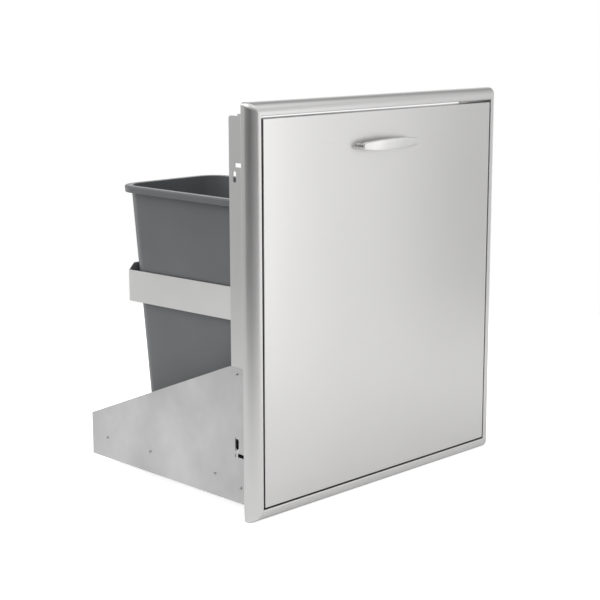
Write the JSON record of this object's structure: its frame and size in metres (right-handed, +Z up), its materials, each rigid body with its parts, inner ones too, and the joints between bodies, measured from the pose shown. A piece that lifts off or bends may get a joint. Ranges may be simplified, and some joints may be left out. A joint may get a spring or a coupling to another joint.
{
  "type": "pull-out trash cabinet",
  "caption": "Built-in pull-out trash cabinet: a rounded front frame, flush door with bow handle, base pan, ball slides and lift-out bins in a hoop.",
  "frame": {"origin": "bottom centre of the cabinet's box: the centre of its width and depth, at the height of the bezel's lower edge", "axes": "+X to the right of a person facing the door, -Y out of the door (the drawer pulls out along -Y), +Z up"},
  "size_m": [0.655, 0.511, 0.725],
  "materials": {
    "frame_steel": "fine brushed stainless, satin",
    "door_steel": "fine brushed stainless, satin",
    "sheet_steel": "plain stainless sheet, dull",
    "hoop_steel": "plain stainless strap, dull",
    "handle_steel": "satin polished",
    "fastener_steel": "plain",
    "slide_steel": "zinc plated",
    "cage_steel": "zinc plated",
    "ball_steel": "polished",
    "bumper_rubber": "matte",
    "bin_plastic": "fine moulded texture"
  },
  "bodies": {
    "housing": {"left_jamb": "frame_steel", "right_jamb": "frame_steel", "head": "frame_steel", "sill": "frame_steel", "base_pan": "sheet_steel", "frame_rivets": "fastener_steel", "slide_screws": "fastener_steel", "slide_shims": "fastener_steel", "bumpers": "bumper_rubber", "left_slide_cabinet_member": "slide_steel", "right_slide_cabinet_member": "slide_steel"},
    "drawer": {"door_skin": "door_steel", "door_liner": "sheet_steel", "handle": "handle_steel", "handle_screws": "fastener_steel", "carriage_shelf": "sheet_steel", "left_carriage_rail": "sheet_steel", "right_carriage_rail": "sheet_steel", "carriage_screws": "fastener_steel", "shelf_rivets": "fastener_steel", "left_door_gusset": "sheet_steel", "right_door_gusset": "sheet_steel", "gusset_rivets": "fastener_steel", "bin_hoop": "hoop_steel", "bin_divider": "hoop_steel", "hoop_rivets": "fastener_steel", "left_slide_drawer_member": "slide_steel", "right_slide_drawer_member": "slide_steel"},
    "left_middle": {"left_slide_middle_member": "slide_steel"},
    "right_middle": {"right_slide_middle_member": "slide_steel"},
    "left_outer_cage": {"left_outer_ball_cage": "cage_steel", "left_outer_balls": "ball_steel"},
    "right_outer_cage": {"right_outer_ball_cage": "cage_steel", "right_outer_balls": "ball_steel"},
    "left_inner_cage": {"left_inner_ball_cage": "cage_steel", "left_inner_balls": "ball_steel"},
    "right_inner_cage": {"right_inner_ball_cage": "cage_steel", "right_inner_balls": "ball_steel"},
    "left_bin_unit": {"left_bin": "bin_plastic"},
    "right_bin_unit": {"right_bin": "bin_plastic"}
  },
  "joints": [
    {"name": "drawer_slide", "type": "slide", "parent": "housing", "child": "drawer", "axis": [0, -1, 0], "range_m": [0, 0.45]},
    {"name": "left_middle_slide", "type": "slide", "parent": "housing", "child": "left_middle", "axis": [0, -1, 0], "range_m": [0, 0.225]},
    {"name": "left_outer_cage_slide", "type": "slide", "parent": "housing", "child": "left_outer_cage", "axis": [0, -1, 0], "range_m": [0, 0.1125]},
    {"name": "left_inner_cage_slide", "type": "slide", "parent": "housing", "child": "left_inner_cage", "axis": [0, -1, 0], "range_m": [0, 0.3375]},
    {"name": "left_bin_lift", "type": "slide", "parent": "drawer", "child": "left_bin_unit", "axis": [0, 0, 1], "range_m": [0, 0.65]},
    {"name": "right_middle_slide", "type": "slide", "parent": "housing", "child": "right_middle", "axis": [0, -1, 0], "range_m": [0, 0.225]},
    {"name": "right_outer_cage_slide", "type": "slide", "parent": "housing", "child": "right_outer_cage", "axis": [0, -1, 0], "range_m": [0, 0.1125]},
    {"name": "right_inner_cage_slide", "type": "slide", "parent": "housing", "child": "right_inner_cage", "axis": [0, -1, 0], "range_m": [0, 0.3375]},
    {"name": "right_bin_lift", "type": "slide", "parent": "drawer", "child": "right_bin_unit", "axis": [0, 0, 1], "range_m": [0, 0.65]}
  ],
  "couplings": [
    {"joint": "left_middle_slide", "follows": "drawer_slide", "ratio": 0.5},
    {"joint": "left_outer_cage_slide", "follows": "drawer_slide", "ratio": 0.25},
    {"joint": "left_inner_cage_slide", "follows": "drawer_slide", "ratio": 0.75},
    {"joint": "right_middle_slide", "follows": "drawer_slide", "ratio": 0.5},
    {"joint": "right_outer_cage_slide", "follows": "drawer_slide", "ratio": 0.25},
    {"joint": "right_inner_cage_slide", "follows": "drawer_slide", "ratio": 0.75}
  ]
}
